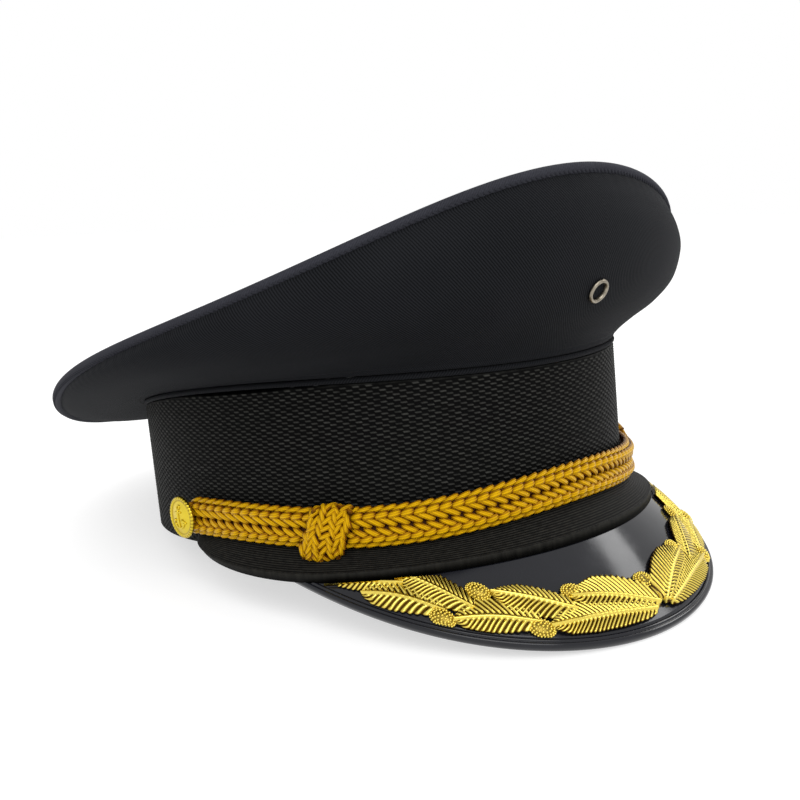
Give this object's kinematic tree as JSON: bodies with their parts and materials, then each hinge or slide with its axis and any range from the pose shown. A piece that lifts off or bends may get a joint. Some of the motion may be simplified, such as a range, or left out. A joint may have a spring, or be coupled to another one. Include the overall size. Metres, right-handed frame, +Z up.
{
  "type": "captain hat",
  "caption": "Peaked cap with a high-fronted crown, woven band, sloping glossy visor with a leaf relief, and a braided chin cord held by a button at each side.",
  "frame": {"origin": "on the floor, under the middle of the whole cap, which rests nose up on the edge of its visor and the back of its band", "axes": "-Y towards the front of the cap, +X towards the wearer's left, +Z up"},
  "size_m": [0.2458, 0.2856, 0.1457],
  "materials": {
    "twill": "dark navy wool twill",
    "braid_band": "black mohair braid with a woven cell pattern",
    "grosgrain": "black ribbed tape",
    "patent": "black patent gloss",
    "rayon_cord": "golden yellow twisted rayon",
    "gilt": "gilt, satin",
    "eyelet_metal": "antique nickel"
  },
  "bodies": {
    "root": {"crown_quarters": "twill", "crown_top": "twill", "band_piping": "twill", "band": "braid_band", "ribbed_strip": "grosgrain", "visor": "patent", "visor_binding": "patent", "leaf_spray_right": "gilt", "leaf_spray_left": "gilt", "chin_cord_front": "rayon_cord", "chin_cord_right": "rayon_cord", "chin_cord_left": "rayon_cord", "cord_knot_right": "rayon_cord", "cord_knot_left": "rayon_cord", "cord_button_right": "gilt", "cord_button_left": "gilt", "badge_eyelet": "eyelet_metal"}
  },
  "joints": []
}
